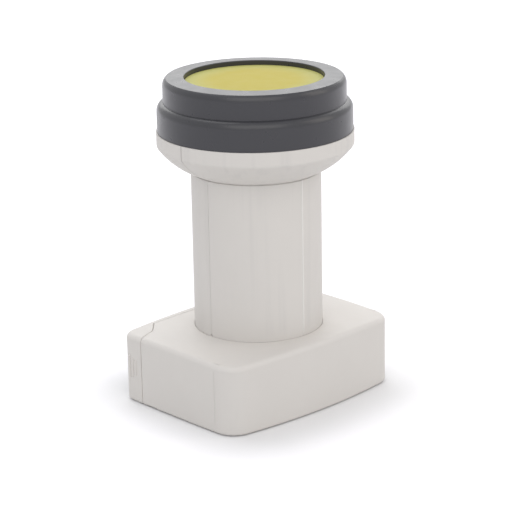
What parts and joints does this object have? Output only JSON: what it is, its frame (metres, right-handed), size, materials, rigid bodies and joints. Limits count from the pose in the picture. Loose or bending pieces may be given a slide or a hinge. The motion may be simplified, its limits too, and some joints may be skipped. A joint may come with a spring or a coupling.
{
  "type": "satellite lnb",
  "caption": "Low-noise block for a dish: round feed head on a clamp neck above a box with threaded connectors under a sliding weather cover.",
  "frame": {"origin": "where the neck's axis meets the rest face, the flat back of the box", "axes": "+Z along the neck towards the feed window, +Y out of the connectors, X along the box's long side"},
  "size_m": [0.0708, 0.0642, 0.1014],
  "materials": {
    "housing_plastic": "fine matt moulding",
    "cap_plastic": "satin moulding",
    "window_plastic": "smooth, slightly translucent look",
    "seal_rubber": "matt",
    "cast_aluminium": "as cast",
    "lid_aluminium": "pressed sheet",
    "screw_steel": "zinc plated",
    "board_laminate": "solder mask",
    "can_steel": "tin plated",
    "chip_plastic": "moulded",
    "probe_brass": "bright",
    "white_plastic": "waxy",
    "connector_nickel": "nickel plated"
  },
  "bodies": {
    "body": {"box_shell": "housing_plastic", "back_cover": "housing_plastic", "neck_front_half": "housing_plastic", "neck_rear_half": "housing_plastic", "sun_cap": "cap_plastic", "feed_window": "window_plastic", "window_seal": "seal_rubber", "feed_horn": "cast_aluminium", "chassis": "cast_aluminium", "chassis_lid": "lid_aluminium", "lid_gasket": "seal_rubber", "cover_screws": "screw_steel", "lid_screws": "screw_steel", "board_screws": "screw_steel", "circuit_board": "board_laminate", "oscillator_can": "can_steel", "switch_chip": "chip_plastic", "regulator_chip": "chip_plastic", "side_probe": "probe_brass", "front_probe": "probe_brass", "probe_bushings": "white_plastic", "left_connector_body": "connector_nickel", "left_connector_insulator": "white_plastic", "left_connector_contact": "probe_brass", "left_connector_seal": "seal_rubber", "right_connector_body": "connector_nickel", "right_connector_insulator": "white_plastic", "right_connector_contact": "probe_brass", "right_connector_seal": "seal_rubber"},
    "cover": {"slide_cover": "housing_plastic"}
  },
  "joints": [
    {"name": "cover_slide", "type": "slide", "parent": "body", "child": "cover", "axis": [0, 1, 0], "range_m": [0, 0.0104]}
  ]
}
